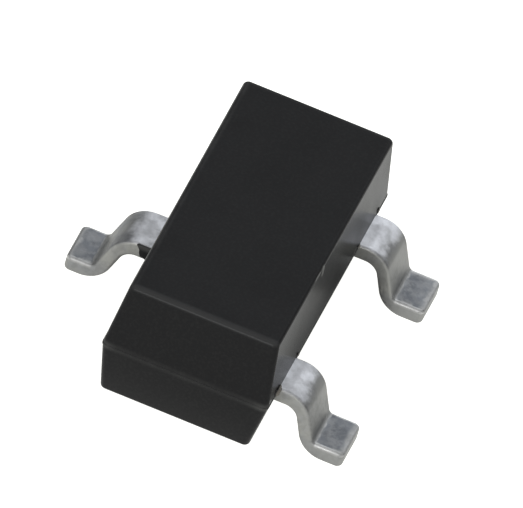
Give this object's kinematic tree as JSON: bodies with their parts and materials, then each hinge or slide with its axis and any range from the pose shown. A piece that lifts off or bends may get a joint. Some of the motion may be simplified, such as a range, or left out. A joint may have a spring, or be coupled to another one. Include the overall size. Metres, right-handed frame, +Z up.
{
  "type": "dual schottky diode",
  "caption": "Surface-mount dual schottky diode: a black moulded body with drafted sides and gull-wing leads, common cathode opposite the anodes.",
  "frame": {"origin": "on the seating plane, under the middle of the moulded body", "axes": "+Z up from the seating plane; X along the body's long axis; the anode leads leave the -Y side and the common cathode lead the +Y side"},
  "size_m": [0.0028, 0.0026, 0.0011],
  "materials": {
    "mold_compound": "black filled epoxy with a fine matte texture",
    "tin_plated_lead": "matte tin plating over copper alloy strip",
    "silicon": "sawn silicon with a metal contact",
    "conductive_adhesive": "cured silver-filled adhesive",
    "gold_wire": "drawn gold bonding wire"
  },
  "bodies": {
    "root": {"molded_body": "mold_compound", "lead_anode_1": "tin_plated_lead", "lead_anode_2": "tin_plated_lead", "lead_common_cathode": "tin_plated_lead", "schottky_die_1": "silicon", "schottky_die_2": "silicon", "die_attach_1": "conductive_adhesive", "die_attach_2": "conductive_adhesive", "bond_wire_1": "gold_wire", "bond_wire_2": "gold_wire"}
  },
  "joints": []
}
